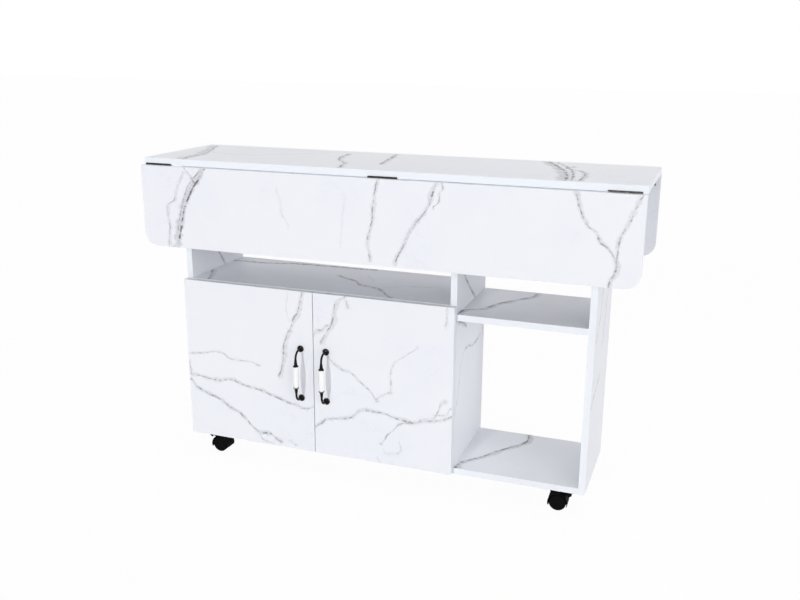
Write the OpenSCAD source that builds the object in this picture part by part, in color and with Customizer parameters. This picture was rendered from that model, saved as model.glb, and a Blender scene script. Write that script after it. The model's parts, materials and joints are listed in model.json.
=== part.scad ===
// Drop-leaf serving table on casters: a fixed top strip with a hanging leaf in front and behind,
// a two-door cabinet under an open shelf, and an open bay with a shelf and a bottom board.
// Millimetres. +Z is up, +X is to the right of the front, -Y is to the front.
// The origin is on the floor, under the middle of the closed table's footprint.

/* [Top and leaves] */
// Length of the fixed top and of both leaves
top_length = 1200; // [1100:10:1400]
// Depth of the fixed top strip
top_depth = 312; // [300:2:380]
// Thickness of the top and of the leaves
top_thickness = 16; // [15:0.5:20]
// Length of a leaf from its hinged edge to its free edge
leaf_drop = 198; // [195:1:240]
// Radius of a leaf's two free corners
leaf_corner_r = 34; // [10:1:60]
// Gap between a leaf's hinged edge and the top
leaf_gap = 1; // [0.6:0.1:1.6]

/* [Carcass] */
// Thickness of the carcass boards
board = 15; // [15:0.5:18]
// Height of the carcass, from its underside to the underside of the top
carcass_height = 706; // [640:2:760]
// Overhang of the top past the left side panel
left_overhang = 85; // [60:1:110]
// Overhang of the top past the right side panel
right_overhang = 90; // [60:1:110]
// Clear width of the open bay
bay_width = 300; // [240:5:360]
// Height of the cabinet, from the carcass underside to the open shelf's upper face
cabinet_height = 420; // [380:1:440]
// How far the bay shelf's upper face is below the open shelf's
bay_shelf_drop = 21; // [10:1:90]
// Thickness of the cabinet's back panel
back_thickness = 4; // [3:0.5:6]
// Distance from the rear edges to the back panel
back_inset = 8; // [6:1:20]
// Depth of the grooves that hold the back panel
groove_depth = 5; // [3:0.5:7]
// Clearance at the bottom of those grooves
groove_clear = 0.5; // [0.2:0.1:1]

/* [Board fittings] */
// Radius of a cam lock
cam_r = 7.5; // [6:0.5:7.5]
// Depth of a cam lock's seat
cam_depth = 12; // [9:0.5:12.5]
// Distance from a joint to the cam lock's centre
cam_inset = 24; // [20:1:34]
// Width of the cross slot in a cam lock
cam_slot_width = 1.6; // [1:0.1:2]
// Length of that slot
cam_slot_length = 9; // [6:0.5:11]
// Depth of that slot
cam_slot_depth = 1.5; // [0.5:0.1:2]
// Radius of a cam bolt
bolt_r = 3; // [2.5:0.25:3.5]
// How far bolts and dowels go into the board across the joint
fitting_seat = 10; // [8:0.5:11]
// How far a bolt goes past its cam lock's centre
bolt_overrun = 2; // [1:0.5:4]
// Radius of a wood dowel
dowel_r = 4; // [3:0.5:4]
// How far a dowel goes into the board that it stands in
dowel_inset = 20; // [15:1:26]
// Distance of the cabinet boards' cam locks from the middle
cabinet_cam_y = 60; // [55:1:62]
// Distance of the cabinet boards' dowels from the middle
cabinet_dowel_y = 28; // [20:1:32]
// Distance of the bay boards' cam locks from the middle
bay_cam_y = 82; // [76:1:90]
// Distance of the bay boards' dowels from the middle
bay_dowel_y = 44; // [42:1:48]
// Distance of the cam locks that hold the top from the middle
top_cam_y = 85; // [70:1:95]
// Distance of the dowels that hold the top from the middle
top_dowel_y = 50; // [30:1:60]

/* [Leaf hinges] */
// Length of a leaf hinge
hinge_length = 70; // [60:1:90]
// Width of a hinge flap, from the pin's axis
hinge_flap = 28; // [22:1:34]
// Thickness of a hinge flap
hinge_sheet = 1.5; // [1.2:0.1:2]
// Number of knuckles on a leaf hinge
knuckle_count = 5; // [3:2:7]
// Radius of a knuckle
knuckle_r = 3; // [2.6:0.1:3.4]
// Gap between two knuckles
knuckle_gap = 0.4; // [0.3:0.1:1]
// Clearance between a knuckle and what it turns against
knuckle_clear = 0.5; // [0.35:0.05:0.8]
// Radius of a hinge pin
hinge_pin_r = 1.5; // [1.2:0.1:1.8]
// Radial clearance of every pin that turns in a bore
running_clear = 0.05; // [0.02:0.01:0.09]
// Distance of the left hinge from the end of the top
left_hinge_inset = 5; // [2:1:8]
// Distance of the right hinge from the end of the top
right_hinge_inset = 11; // [4:1:14]
// Distance of the middle hinge's centre to the right of the top's middle
middle_hinge_x = 24; // [-40:1:60]
// Radius of a wood screw
screw_r = 1.75; // [1.5:0.05:2.2]
// Radius of a countersunk screw head
screw_head_r = 3.2; // [2.8:0.1:3.6]
// Length of a screw in the wood
screw_length = 12; // [8:0.5:13]
// Distance of a flap's outer screws from its ends
flap_screw_end = 9; // [7:1:14]
// Distance of a flap's outer screws from the pin
flap_screw_y = 20; // [14:1:23]
// How much nearer to the pin the middle screw sits
flap_screw_stagger = 7; // [2:1:9]

/* [Leaf supports] */
// Distance of a support arm's pivot below the top
support_drop = 50; // [42:1:60]
// Distance of that pivot in front of the carcass
support_offset = 14; // [13:0.5:15]
// Gap between a hanging support arm and its leaf
support_leaf_gap = 6.5; // [4:0.5:20]
// Length of a support arm, from its pivot to the centre of its round end
support_length = 130; // [110:1:134]
// Width of a support arm
support_width = 18; // [14:1:19]
// Thickness of a support arm
support_sheet = 4; // [3:0.5:5]
// Side clearance between an arm and its bracket
support_play = 0.4; // [0.3:0.1:0.6]
// Thickness of the bracket's sheet
bracket_sheet = 2; // [1.5:0.25:2.25]
// Height of the bracket's base
bracket_height = 46; // [40:1:60]
// Radius of the bracket's ears
bracket_ear_r = 8; // [6:0.5:9]
// Radius of the rivet that the arm turns on
rivet_r = 3; // [2:0.25:3.5]
// Radius of the rivet's heads
rivet_head_r = 4.5; // [3.8:0.1:5.5]
// Thickness of the rivet's heads
rivet_head = 1.2; // [0.8:0.1:1.6]
// Distance of a bracket's screws from its ends
bracket_screw_end = 7; // [5:0.5:9]

/* [Doors] */
// Thickness of a door
door_thickness = 15; // [15:0.5:18]
// Gap behind a closed door
door_standoff = 3; // [2.8:0.1:3.4]
// Gap between the two doors
door_gap = 2; // [1.5:0.5:4]
// How far the doors end above the carcass underside
door_rise = 4; // [0:1:8]
// How far the doors end below the open shelf's upper face
door_drop = 1; // [0:1:6]

/* [Door hinges] */
// Radius of a hinge cup
cup_r = 17.5; // [17:0.5:17.5]
// Depth of a hinge cup in the door
cup_depth = 12.8; // [12.6:0.1:13]
// Distance of a cup from the edge of its door
cup_edge = 3; // [2.8:0.1:3.2]
// Wall of a cup
cup_wall = 1; // [0.8:0.1:1.1]
// Floor of a cup
cup_floor = 0.8; // [0.6:0.1:0.9]
// Thickness of a cup's flange
flange_sheet = 1.2; // [1:0.1:1.4]
// Height of a cup's flange
flange_height = 54; // [50:1:60]
// Width of a cup's flange
flange_width = 14; // [12:1:18]
// Distance of a flange's screws from the cup's centre
flange_screw_z = 23; // [22:0.5:24]
// Distance of the hinge pin from the edge of its door
door_pin_inset = 7.2; // [7.1:0.1:7.3]
// Depth of the hinge pin in the door
door_pin_depth = 9.2; // [9.1:0.1:9.4]
// Radius of the hinge pin
door_pin_r = 1.25; // [1:0.05:1.3]
// Radius of the eye at the end of a hinge arm
arm_eye_r = 2.4; // [2.2:0.1:2.5]
// Width of a hinge arm where it enters the cup
arm_width = 8; // [6:0.5:8]
// Width of a hinge arm inside the cabinet
arm_tail_width = 14; // [10:1:18]
// Thickness of a hinge arm
arm_sheet = 2.4; // [2:0.1:2.4]
// Distance from the panel to a hinge arm
arm_standoff = 6.6; // [6:0.1:8]
// Length of a hinge arm behind the panel's front edge
arm_length = 60; // [50:1:70]
// Distance of a mounting plate from the panel's front edge
mount_plate_inset = 20; // [14:1:26]
// Length of a mounting plate
mount_plate_length = 38; // [30:1:44]
// Width of a mounting plate's raised middle
mount_plate_width = 16; // [12:1:20]
// Height of a mounting plate, over its two ears
mount_plate_span = 48; // [44:1:60]
// Thickness of those ears
mount_ear_sheet = 2.4; // [2:0.1:3]
// Width of those ears
mount_ear_width = 14; // [12:1:20]
// Distance of a mounting plate's screws from its middle
mount_screw_z = 18; // [16:0.5:20]
// Distance of a door's hinges from its upper and lower edges
hinge_end = 80; // [60:1:110]

/* [Handles] */
// Distance between a handle's two screws
handle_spacing = 128; // [112:1:150]
// Height of the handles' middle above the carcass underside
handle_height = 210; // [170:1:250]
// Distance of a handle from the edge between the doors
handle_inset = 33; // [26:1:60]
// Distance from the door to the middle of the grip
handle_reach = 29; // [26:1:34]
// Radius of the bend of a handle post
handle_bend_r = 18; // [12:1:19]
// Radius of a handle post at its bend
post_r = 2.6; // [2.2:0.1:3]
// Radius of a handle post at its ferrule
post_end_r = 4.4; // [3.6:0.1:5]
// Radius of a rosette
rosette_r = 8.5; // [7:0.5:10]
// Thickness of a rosette's rim
rosette_rim = 2; // [1.5:0.1:3]
// Height of a rosette
rosette_height = 5; // [4:0.5:7]
// Radius of a rosette at the foot of its neck
rosette_neck_r = 5.2; // [4:0.1:6.5]
// Height of a rosette's neck
rosette_neck = 1; // [0.5:0.1:1.5]
// Radius of a ferrule's rim
ferrule_r = 7; // [6:0.1:8]
// Height of a ferrule's flare
ferrule_flare = 3.2; // [2:0.1:5]
// Thickness of a ferrule's rim
ferrule_rim = 1.2; // [0.8:0.1:2]
// Length of a ceramic grip
grip_length = 54; // [44:1:60]
// Radius of a grip at its ends
grip_end_r = 5.6; // [5:0.1:6.4]
// Radius of a grip at its middle
grip_r = 7.5; // [6.4:0.1:9]
// Radius of the rod through the grip
tie_rod_r = 2; // [1.5:0.1:2.4]
// Radial clearance of that rod in the grip
tie_rod_clear = 0.5; // [0.2:0.1:0.8]
// How far the rod goes into each ferrule
tie_rod_seat = 5; // [3:0.5:8]
// Radius of a handle screw
handle_screw_r = 2; // [1.5:0.1:2.2]
// Radial clearance of a handle screw in the door
handle_screw_clear = 0.2; // [0.1:0.1:0.5]
// How far a handle screw goes into its post
handle_screw_seat = 8; // [5:0.5:9]
// Radius of a handle screw's head
handle_head_r = 3.6; // [3:0.1:5]
// Height of a handle screw's head
handle_head = 2.2; // [1.5:0.1:2.5]

/* [Catch and bumpers] */
// Width of the magnetic catch
catch_width = 46; // [40:1:60]
// Height of the magnetic catch
catch_height = 12; // [9:0.5:16]
// Depth of the magnetic catch's case
catch_depth = 18; // [14:1:30]
// Width of one of the catch's two magnets
magnet_width = 15; // [10:0.5:18]
// Height of a magnet
magnet_height = 5; // [4:0.5:7]
// How far a magnet stands in its case
magnet_seat = 4; // [3:0.5:8]
// Gap between a magnet and its strike plate
magnet_gap = 0.4; // [0.3:0.1:0.8]
// Thickness of a strike plate
strike_sheet = 1.2; // [1:0.1:1.5]
// Width of a strike plate
strike_width = 17; // [14:0.5:20]
// Height of a strike plate
strike_height = 14; // [10:0.5:18]
// Radius of a door bumper
bumper_r = 4.5; // [3:0.25:5]
// Gap between a bumper and the carcass
bumper_gap = 0.4; // [0.3:0.1:0.8]
// Distance of the bumpers from the edge between the doors
bumper_inset = 60; // [40:1:90]

/* [Casters] */
// Height of a caster
caster_height = 55; // [54:0.5:62]
// Distance of the left casters' swivel axis from the left side panel
left_caster_inset = 75; // [42:0.5:95]
// Distance of the right casters' swivel axis from the right side panel
right_caster_inset = 75; // [66:0.5:95]
// Distance of the swivel axes from the carcass's front and rear edges
caster_edge_inset = 25; // [24:1:34]
// Distance from a swivel axis to the axle
caster_trail = 12; // [10:0.5:15]
// Radius of a wheel
wheel_r = 20; // [18:0.5:20.5]
// Width of a wheel
wheel_width = 10; // [8:0.5:12]
// Gap between a wheel and the hood's web
wheel_gap = 1.5; // [1:0.1:2]
// Bevel of a wheel's tread
tread_bevel = 2; // [1:0.1:3]
// Width of the rim around a wheel's outer face
rim_width = 3.5; // [2:0.25:5]
// Depth of a wheel's dished face
dish_depth = 1.5; // [0.5:0.1:2.5]
// Radius of a wheel's hub
hub_r = 7; // [5:0.25:8.5]
// Thickness of the wheel's skin over the end of the axle
hub_skin = 2.5; // [2:0.1:3.5]
// Radius of an axle
axle_r = 2.5; // [2:0.1:3]
// Thickness of the hood's middle web
hood_web = 10; // [9.5:0.5:12]
// Thickness of the hood's shell
hood_wall = 2; // [1.5:0.1:2.5]
// Gap between a wheel's tread and the hood
hood_gap = 1.5; // [1:0.1:2.5]
// Distance that the hood reaches past a wheel's outer face
hood_lip = 1; // [0.5:0.1:2]
// Height of the hood's lower edge above the floor
hood_skirt_z = 13; // [10:0.5:16]
// Radius of the hood's swivel boss
boss_r = 8.5; // [8:0.5:12]
// How far the hood's flat shoulder is below the boss's top
shoulder_drop = 4.5; // [3:0.5:8]
// Reach of the shoulder from the axle towards the swivel axis
shoulder_back = 17; // [14:0.5:21]
// Reach of the shoulder from the axle towards the brake
shoulder_front = 6; // [3:0.5:8]
// Bevel of the shoulder's two edges
shoulder_bevel = 1.5; // [0.5:0.1:2.5]
// Length of the boss's taper
boss_taper = 9; // [8:0.5:10]
// Gap between the boss and the caster plate
boss_gap = 1; // [0.5:0.1:1.5]
// Radius of a king pin
king_pin_r = 4; // [3:0.25:4.25]
// Length of a king pin below its plate
king_pin_length = 12; // [8:0.5:12.5]
// Width of a square caster plate
caster_plate = 38; // [36:1:46]
// Thickness of a caster plate
caster_plate_sheet = 2.5; // [2:0.25:3]
// Distance between a plate's screws
plate_screw_spacing = 29; // [28:0.5:29.5]
// Length of a plate screw in the wood
plate_screw_length = 8; // [6:0.5:9]
// Radial clearance of those screws in the plate
plate_screw_clear = 0.3; // [0.1:0.1:0.6]
// Radius of a plate screw's head
plate_head_r = 3.4; // [3:0.1:4]
// Height of a plate screw's head
plate_head = 1.8; // [1.2:0.1:2.2]

/* [Brakes] */
// Angle of a brake pivot above the axle, behind the wheel
brake_pivot_angle = 50; // [45:1:55]
// Distance of a brake pivot outside the hood
brake_pivot_reach = 4.5; // [4.2:0.1:5]
// Radius of a brake lever's eye
brake_eye_r = 2.9; // [2.5:0.1:3]
// Radius of the pin at each side of a brake lever
brake_pin_r = 1.5; // [1:0.1:1.8]
// Width of the brake lever between its ears
brake_eye_width = 12; // [8:0.5:13]
// Thickness of a brake ear
brake_ear = 3; // [2:0.25:3.5]
// Width of the brake pedal
brake_pedal_width = 24; // [20:0.5:30]
// Length of the lever from its pivot to the pedal's tip
brake_length = 12; // [11:0.5:16]
// Thickness of the brake lever at its pivot and its tip
brake_sheet = 3; // [2:0.25:3.5]
// Depth of the wedge under the pedal
brake_wedge = 5; // [3:0.5:5.5]
// Distance from the wedge's lower edge back from the tip
brake_wedge_back = 3.5; // [2:0.5:5]
// Number of the pedal's grip ridges
brake_ridge_count = 3; // [1:1:3]
// Distance between two ridges
brake_ridge_pitch = 2.4; // [2:0.1:2.6]
// Height of the ridges
brake_ridge = 0.6; // [0.3:0.1:1]
// Clearance around the brake lever
brake_clear = 0.6; // [0.4:0.1:1]
// Slope of a released brake lever
brake_slope = 5; // [0:1:10]
// Swivel angle of the front left caster
front_left_angle = 178; // [-180:1:180]
// Swivel angle of the front right caster
front_right_angle = 2; // [-180:1:180]
// Swivel angle of the rear left caster
rear_left_angle = 160; // [-180:1:180]
// Swivel angle of the rear right caster
rear_right_angle = 20; // [-180:1:180]

/* [Colours] */
// White marble-look laminate
laminate_colour = "whitesmoke";
// Black moulded plastic
plastic_colour = "#18181a";
// Dark bronze of the handles and leaf hinges
bronze_colour = "#2a2624";
// Bright steel of the hidden hardware
steel_colour = "silver";
// Glazed ceramic of the grips
ceramic_colour = "white";
// Beech of the dowels
beech_colour = "burlywood";
// Clear rubber of the bumpers
rubber_colour = "gainsboro";
// White plastic of the catch's case
catch_colour = "white";

/* [Hidden] */
$fn = 64;
// A cut runs this far past the face that it opens
past = 1;
// Facets of the long arc along a grip's side
grip_facets = 512;

// Heights
top_under_z = caster_height + carcass_height;
cabinet_top_z = caster_height + cabinet_height;
bay_shelf_z = cabinet_top_z - bay_shelf_drop;
bottom_z = caster_height + board;

// Places along the length
left_x = -top_length / 2 + left_overhang;
right_x = top_length / 2 - right_overhang;
cabinet_left_x = left_x + board;
bay_right_x = right_x - board;
bay_left_x = bay_right_x - bay_width;
cabinet_right_x = bay_left_x - board;
seam_x = (left_x + bay_left_x) / 2;

// Places along the depth, from the carcass's middle: the top reaches past the carcass, front and
// rear, far enough for the supports to hang behind the leaves
edge_overhang = support_offset + support_width / 2 + support_leaf_gap;
carcass_depth = top_depth - 2 * edge_overhang;
front_y = -carcass_depth / 2;
leaf_axis_y = top_depth / 2;
back_y = carcass_depth / 2 - back_inset - back_thickness;
door_back_y = front_y - door_standoff;
door_front_y = door_back_y - door_thickness;
grip_y = door_front_y - handle_reach;
// The carcass's middle lies this far behind the middle of the whole footprint
middle_y = (max(leaf_axis_y + top_thickness, grip_r - grip_y) - leaf_axis_y - top_thickness) / 2;

// Leaf hinges
knuckle_pitch = hinge_length / knuckle_count;
knuckle_reach = knuckle_r + knuckle_clear;
left_hinge_x = -top_length / 2 + left_hinge_inset;
right_hinge_x = top_length / 2 - right_hinge_inset - hinge_length;
hinge_starts = [left_hinge_x, middle_hinge_x - hinge_length / 2, right_hinge_x];
flap_middle_y = flap_screw_y - flap_screw_stagger;
flap_screws = [
    [flap_screw_end, flap_screw_y],
    [hinge_length / 2, flap_middle_y],
    [hinge_length - flap_screw_end, flap_screw_y]
];

// Leaf supports
support_xs = [left_x + board / 2, right_x - board / 2];
support_pivot_y = carcass_depth / 2 + support_offset;
support_pivot_z = top_under_z - support_drop;
support_side = support_sheet / 2 + support_play;

// Board fittings: [joint plane x, side of the board, middle height, cam y, dowel y]
bottom_mid_z = caster_height + board / 2;
cabinet_mid_z = cabinet_top_z - board / 2;
bay_mid_z = bay_shelf_z - board / 2;
cabinet_bottom_left = [cabinet_left_x, 1, bottom_mid_z, cabinet_cam_y, cabinet_dowel_y];
cabinet_bottom_right = [cabinet_right_x, -1, bottom_mid_z, cabinet_cam_y, cabinet_dowel_y];
cabinet_top_left = [cabinet_left_x, 1, cabinet_mid_z, cabinet_cam_y, cabinet_dowel_y];
cabinet_top_right = [cabinet_right_x, -1, cabinet_mid_z, cabinet_cam_y, cabinet_dowel_y];
bay_bottom_left = [bay_left_x, 1, bottom_mid_z, bay_cam_y, bay_dowel_y];
bay_bottom_right = [bay_right_x, -1, bottom_mid_z, bay_cam_y, bay_dowel_y];
bay_shelf_left = [bay_left_x, 1, bay_mid_z, bay_cam_y, bay_dowel_y];
bay_shelf_right = [bay_right_x, -1, bay_mid_z, bay_cam_y, bay_dowel_y];
cabinet_joints = [cabinet_bottom_left, cabinet_bottom_right, cabinet_top_left, cabinet_top_right];
bay_joints = [bay_bottom_left, bay_bottom_right, bay_shelf_left, bay_shelf_right];
level_joints = concat(cabinet_joints, bay_joints);
// Upright joints under the top: [panel's middle x, side of the cam lock's mouth]
left_upright = [left_x + board / 2, 1];
middle_upright = [bay_left_x - board / 2, -1];
right_upright = [right_x - board / 2, -1];
upright_joints = [left_upright, middle_upright, right_upright];

// Doors
door_low_z = caster_height + door_rise;
door_high_z = cabinet_top_z - door_drop;
door_hinge_zs = [door_low_z + hinge_end, door_high_z - hinge_end];
left_door_width = seam_x - door_gap / 2 - left_x;
cup_inner_r = cup_r - cup_wall;
cup_centre = cup_edge + cup_r;
door_pin_y = door_back_y - door_pin_depth;
door_pin_chord = cup_centre - door_pin_inset;
// The pin ends in the middle of the cup's wall
door_pin_half = sqrt(pow(cup_r - cup_wall / 2, 2) - pow(door_pin_chord, 2));
arm_outer = board + arm_standoff;
handle_z = caster_height + handle_height;
handle_half = handle_spacing / 2;
grip_half = grip_length / 2;

// Catch
catch_front_y = door_back_y + strike_sheet + magnet_gap;
catch_z = cabinet_top_z - board - catch_height / 2;
magnet_x = door_gap / 2 + strike_width / 2;

// Casters
wheel_inner = hood_web / 2 + wheel_gap;
wheel_outer = wheel_inner + wheel_width;
hood_inner_r = wheel_r + hood_gap;
hood_r = hood_inner_r + hood_wall;
hood_half = wheel_outer + hood_lip;
plate_under_z = caster_height - caster_plate_sheet;
boss_top_z = plate_under_z - boss_gap;
shoulder_z = boss_top_z - shoulder_drop;
king_pin_z = plate_under_z - king_pin_length;
brake_pivot_r = hood_r + brake_pivot_reach;
brake_x = caster_trail + brake_pivot_r * cos(brake_pivot_angle);
brake_z = wheel_r + brake_pivot_r * sin(brake_pivot_angle);
brake_ear_in = brake_eye_width / 2 + brake_clear / 2;
left_caster_x = left_x + left_caster_inset;
right_caster_x = right_x - right_caster_inset;
caster_y = carcass_depth / 2 - caster_edge_inset;
front_left_spot = [left_caster_x, -caster_y, front_left_angle];
front_right_spot = [right_caster_x, -caster_y, front_right_angle];
rear_left_spot = [left_caster_x, caster_y, rear_left_angle];
rear_right_spot = [right_caster_x, caster_y, rear_right_angle];
caster_spots = [front_left_spot, front_right_spot, rear_left_spot, rear_right_spot];

// ---------- helpers ----------

// Moves what is drawn about the carcass's middle into the frame of the footprint
module centred() {
    translate([0, middle_y, 0]) children();
}

// A board between two corners
module slab(low, high) {
    translate(low) cube(high - low);
}

// A cylinder along X, from x0 to x1
module bar_x(r, x0, x1) {
    translate([x0, 0, 0]) rotate([0, 90, 0]) cylinder(r = r, h = x1 - x0);
}

// A cylinder along Y, from y0 to y1
module bar_y(r, y0, y1) {
    translate([0, y1, 0]) rotate([90, 0, 0]) cylinder(r = r, h = y1 - y0);
}

// A countersunk wood screw: its head's face is at -sheet, and it points to +Z
module countersunk_screw(sheet) {
    translate([0, 0, -sheet]) cylinder(r1 = screw_head_r, r2 = screw_r, h = sheet);
    cylinder(r = screw_r, h = screw_length);
}

// The front copy, and the same mirrored to the rear
module front_and_rear() {
    children();
    mirror([0, 1, 0]) children();
}

// ---------- board fittings ----------

module level_bolts(joints) {
    for (j = joints, s = [-1, 1])
        translate([j[0], s * j[3], j[2]]) mirror([j[1] < 0 ? 1 : 0, 0, 0])
            bar_x(bolt_r, -fitting_seat, cam_inset + bolt_overrun);
}

module level_dowels(joints) {
    for (j = joints, s = [-1, 1])
        translate([j[0], s * j[4], j[2]]) mirror([j[1] < 0 ? 1 : 0, 0, 0])
            bar_x(dowel_r, -fitting_seat, dowel_inset);
}

module level_cams(joints) {
    for (j = joints, s = [-1, 1])
        translate([j[0] + j[1] * cam_inset, s * j[3], j[2] - board / 2])
            cylinder(r = cam_r, h = cam_depth);
}

module upright_bolts(joints) {
    for (j = joints, s = [-1, 1])
        translate([j[0], s * top_cam_y, top_under_z - cam_inset - bolt_overrun])
            cylinder(r = bolt_r, h = cam_inset + bolt_overrun + fitting_seat);
}

module upright_dowels(joints) {
    for (j = joints, s = [-1, 1])
        translate([j[0], s * top_dowel_y, top_under_z - dowel_inset])
            cylinder(r = dowel_r, h = dowel_inset + fitting_seat);
}

module upright_cams(joints) {
    for (j = joints, s = [-1, 1])
        translate([j[0], s * top_cam_y, top_under_z - cam_inset]) mirror([j[1] < 0 ? 1 : 0, 0, 0])
            bar_x(cam_r, board / 2 - cam_depth, board / 2);
}

// The cross slot in a cam lock's face, cut into +Z
module cam_cross() {
    for (a = [0, 90])
        rotate([0, 0, a]) translate([-cam_slot_length / 2, -cam_slot_width / 2, -past])
            cube([cam_slot_length, cam_slot_width, cam_slot_depth + past]);
}

module level_slots(joints) {
    for (j = joints, s = [-1, 1])
        translate([j[0] + j[1] * cam_inset, s * j[3], j[2] - board / 2]) cam_cross();
}

module upright_slots(joints) {
    for (j = joints, s = [-1, 1])
        translate([j[0] + j[1] * board / 2, s * top_cam_y, top_under_z - cam_inset])
            rotate([0, -j[1] * 90, 0]) cam_cross();
}

module cam_locks() {
    color(steel_colour) centred() {
        difference() {
            level_cams(level_joints);
            level_bolts(level_joints);
            level_slots(level_joints);
        }
        difference() {
            upright_cams(upright_joints);
            upright_bolts(upright_joints);
            upright_slots(upright_joints);
        }
    }
}

module cam_bolts() {
    color(steel_colour) centred() {
        level_bolts(level_joints);
        upright_bolts(upright_joints);
    }
}

module wood_dowels() {
    color(beech_colour) centred() {
        level_dowels(level_joints);
        upright_dowels(upright_joints);
    }
}

// ---------- carcass ----------

// Where the back panel and its grooves are, with a clearance all round
module back_space(clear) {
    reach = groove_depth - clear;
    slab([cabinet_left_x - reach, back_y, bottom_z - reach],
         [cabinet_right_x + reach, back_y + back_thickness, cabinet_top_z - board + reach]);
}

module upright_board(x0) {
    slab([x0, front_y, caster_height], [x0 + board, -front_y, top_under_z]);
}

module level_board(x0, x1, top) {
    slab([x0, front_y, top - board], [x1, -front_y, top]);
}

module left_side_panel() {
    joints = [cabinet_bottom_left, cabinet_top_left];
    color(laminate_colour) centred() difference() {
        upright_board(left_x);
        level_bolts(joints);
        level_dowels(joints);
        upright_bolts([left_upright]);
        upright_dowels([left_upright]);
        upright_cams([left_upright]);
        back_space(0);
        mount_screw_holes(1);
        bracket_screws([support_xs[0]]);
    }
}

module right_side_panel() {
    joints = [bay_bottom_right, bay_shelf_right];
    color(laminate_colour) centred() difference() {
        upright_board(bay_right_x);
        level_bolts(joints);
        level_dowels(joints);
        upright_bolts([right_upright]);
        upright_dowels([right_upright]);
        upright_cams([right_upright]);
        bracket_screws([support_xs[1]]);
    }
}

module centre_divider() {
    joints = [cabinet_bottom_right, cabinet_top_right, bay_bottom_left, bay_shelf_left];
    color(laminate_colour) centred() difference() {
        upright_board(cabinet_right_x);
        level_bolts(joints);
        level_dowels(joints);
        upright_bolts([middle_upright]);
        upright_dowels([middle_upright]);
        upright_cams([middle_upright]);
        back_space(0);
        mount_screw_holes(-1);
    }
}

module cabinet_bottom_board() {
    joints = [cabinet_bottom_left, cabinet_bottom_right];
    color(laminate_colour) centred() difference() {
        level_board(cabinet_left_x, cabinet_right_x, bottom_z);
        level_bolts(joints);
        level_dowels(joints);
        level_cams(joints);
        back_space(0);
        plate_screw_shanks([front_left_spot, rear_left_spot]);
    }
}

module cabinet_top_board() {
    joints = [cabinet_top_left, cabinet_top_right];
    color(laminate_colour) centred() difference() {
        level_board(cabinet_left_x, cabinet_right_x, cabinet_top_z);
        level_bolts(joints);
        level_dowels(joints);
        level_cams(joints);
        back_space(0);
    }
}

module bay_bottom_board() {
    joints = [bay_bottom_left, bay_bottom_right];
    color(laminate_colour) centred() difference() {
        level_board(bay_left_x, bay_right_x, bottom_z);
        level_bolts(joints);
        level_dowels(joints);
        level_cams(joints);
        plate_screw_shanks([front_right_spot, rear_right_spot]);
    }
}

module bay_shelf() {
    joints = [bay_shelf_left, bay_shelf_right];
    color(laminate_colour) centred() difference() {
        level_board(bay_left_x, bay_right_x, bay_shelf_z);
        level_bolts(joints);
        level_dowels(joints);
        level_cams(joints);
    }
}

module cabinet_back_panel() {
    color(laminate_colour) centred() back_space(groove_clear);
}

// ---------- top and leaves ----------

// Places a hinge at each of its three spots, with the pin's axis as the local X axis
module at_leaf_hinges() {
    for (x = hinge_starts)
        translate([x, -leaf_axis_y, top_under_z]) children();
}

// The room that the knuckles need in the boards' edges
module knuckle_notches() {
    at_leaf_hinges() bar_x(knuckle_reach, -knuckle_gap, hinge_length + knuckle_gap);
}

// The screws of one flap: side is -1 under the top, and 1 on a leaf
module flap_screw_set(side) {
    for (p = flap_screws)
        translate([p[0], p[1], 0]) mirror([0, 0, side > 0 ? 1 : 0]) countersunk_screw(hinge_sheet);
}

module top_board() {
    color(laminate_colour) centred() difference() {
        slab([-top_length / 2, -leaf_axis_y, top_under_z],
             [top_length / 2, leaf_axis_y, top_under_z + top_thickness]);
        upright_bolts(upright_joints);
        upright_dowels(upright_joints);
        front_and_rear() {
            knuckle_notches();
            at_leaf_hinges() flap_screw_set(-1);
        }
    }
}

// A board with two round lower corners, hanging at the front
module leaf_blank() {
    r = leaf_corner_r;
    z1 = top_under_z - leaf_gap;
    z0 = z1 - leaf_drop;
    y0 = -leaf_axis_y - top_thickness;
    half = top_length / 2;
    slab([-half, y0, z0 + r], [half, -leaf_axis_y, z1]);
    slab([r - half, y0, z0], [half - r, -leaf_axis_y, z1]);
    for (x = [r - half, half - r])
        translate([x, 0, z0 + r]) bar_y(r, y0, -leaf_axis_y);
}

module leaf_shape() {
    difference() {
        leaf_blank();
        knuckle_notches();
        at_leaf_hinges() rotate([-90, 0, 0]) flap_screw_set(1);
    }
}

// One flap with its knuckles: the flap lies along +Y, below the axis (side -1) or above it (side 1)
module hinge_flap(first, bore_r, side) {
    low = side > 0 ? 0 : -hinge_sheet;
    width = knuckle_pitch - knuckle_gap;
    difference() {
        union() {
            translate([0, knuckle_reach, low]) cube([hinge_length, hinge_flap - knuckle_reach, hinge_sheet]);
            for (i = [first : 2 : knuckle_count - 1])
                translate([i * knuckle_pitch + knuckle_gap / 2, 0, 0]) {
                    translate([0, 0, low]) cube([width, knuckle_reach + past, hinge_sheet]);
                    bar_x(knuckle_r, 0, width);
                }
        }
        bar_x(bore_r, -past, hinge_length + past);
        flap_screw_set(side);
    }
}

module fixed_flap() {
    hinge_flap(0, hinge_pin_r, -1);
}

module moving_flap() {
    rotate([-90, 0, 0]) hinge_flap(1, hinge_pin_r + running_clear, 1);
}

module leaf_hinge_fixed_plates() {
    color(bronze_colour) centred() front_and_rear() at_leaf_hinges() fixed_flap();
}

module leaf_hinge_pins() {
    color(bronze_colour) centred() front_and_rear() at_leaf_hinges()
        bar_x(hinge_pin_r, knuckle_gap / 2, hinge_length - knuckle_gap / 2);
}

module leaf_hinge_screws() {
    color(bronze_colour) centred() front_and_rear() at_leaf_hinges() flap_screw_set(-1);
}

module front_leaf() {
    color(laminate_colour) centred() leaf_shape();
}

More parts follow.
